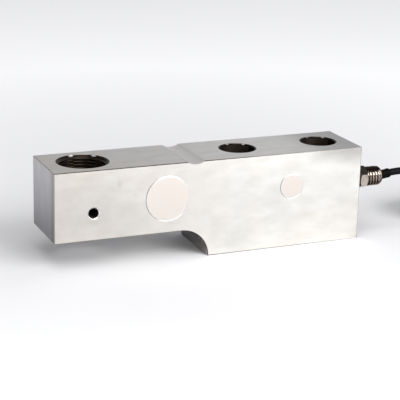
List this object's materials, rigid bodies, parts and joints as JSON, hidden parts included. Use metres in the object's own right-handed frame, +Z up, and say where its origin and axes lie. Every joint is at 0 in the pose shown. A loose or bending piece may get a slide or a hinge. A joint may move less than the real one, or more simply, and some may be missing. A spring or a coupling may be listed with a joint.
{
  "type": "single-ended beam load cell",
  "caption": "Stepped steel shear beam with a threaded load hole at its free end, bolt holes at its fixed end, welded gauge covers, a cable gland and a tied hank of cable.",
  "frame": {"origin": "on the base face of the deep block, midway between the two mounting holes", "axes": "+X along the beam from the load hole to the cable end, +Z up along the mounting holes, -Y towards the side with the wiring cover"},
  "size_m": [0.3882, 0.0545, 0.06],
  "materials": {
    "machined_steel": "milled and nickel plated, satin",
    "cover_steel": "fine turned disc, satin",
    "gland_metal": "turned, nickel plated",
    "rubber": "moulded, matt",
    "shrunk_sleeve": "shrunk tube, satin",
    "cable_jacket": "extruded, satin",
    "nylon": "moulded",
    "foil": "etched foil on an amber backing",
    "board": "glass-fibre laminate",
    "resistor": "dipped",
    "wire_insulation": "extruded",
    "lead_red": "extruded",
    "lead_shield": "extruded",
    "lead_white": "extruded",
    "lead_black": "extruded",
    "lead_green": "extruded",
    "tinned_copper": "twisted and tinned"
  },
  "bodies": {
    "root": {"beam_body": "machined_steel", "gauge_cover_front": "cover_steel", "gauge_cover_rear": "cover_steel", "wiring_cover": "cover_steel", "strain_gauge_front": "foil", "strain_gauge_rear": "foil", "terminal_pad_front": "board", "terminal_pad_rear": "board", "gauge_leads_front": "wire_insulation", "gauge_leads_rear": "wire_insulation", "trim_board": "board", "trim_resistors": "resistor", "cable_cores": "wire_insulation", "cable_inner_end": "cable_jacket", "gland_body": "gland_metal", "gland_seal": "rubber", "cable_grommet": "rubber", "thrust_washer": "gland_metal", "clamp_screw": "gland_metal", "cable_sleeve": "shrunk_sleeve", "signal_cable": "cable_jacket", "cable_hank": "cable_jacket", "hank_tie_front": "nylon", "hank_tie_rear": "nylon", "far_end_sleeve": "shrunk_sleeve", "lead_red": "lead_red", "lead_shield": "lead_shield", "lead_white": "lead_white", "lead_black": "lead_black", "lead_green": "lead_green", "bare_tips": "tinned_copper"}
  },
  "joints": []
}
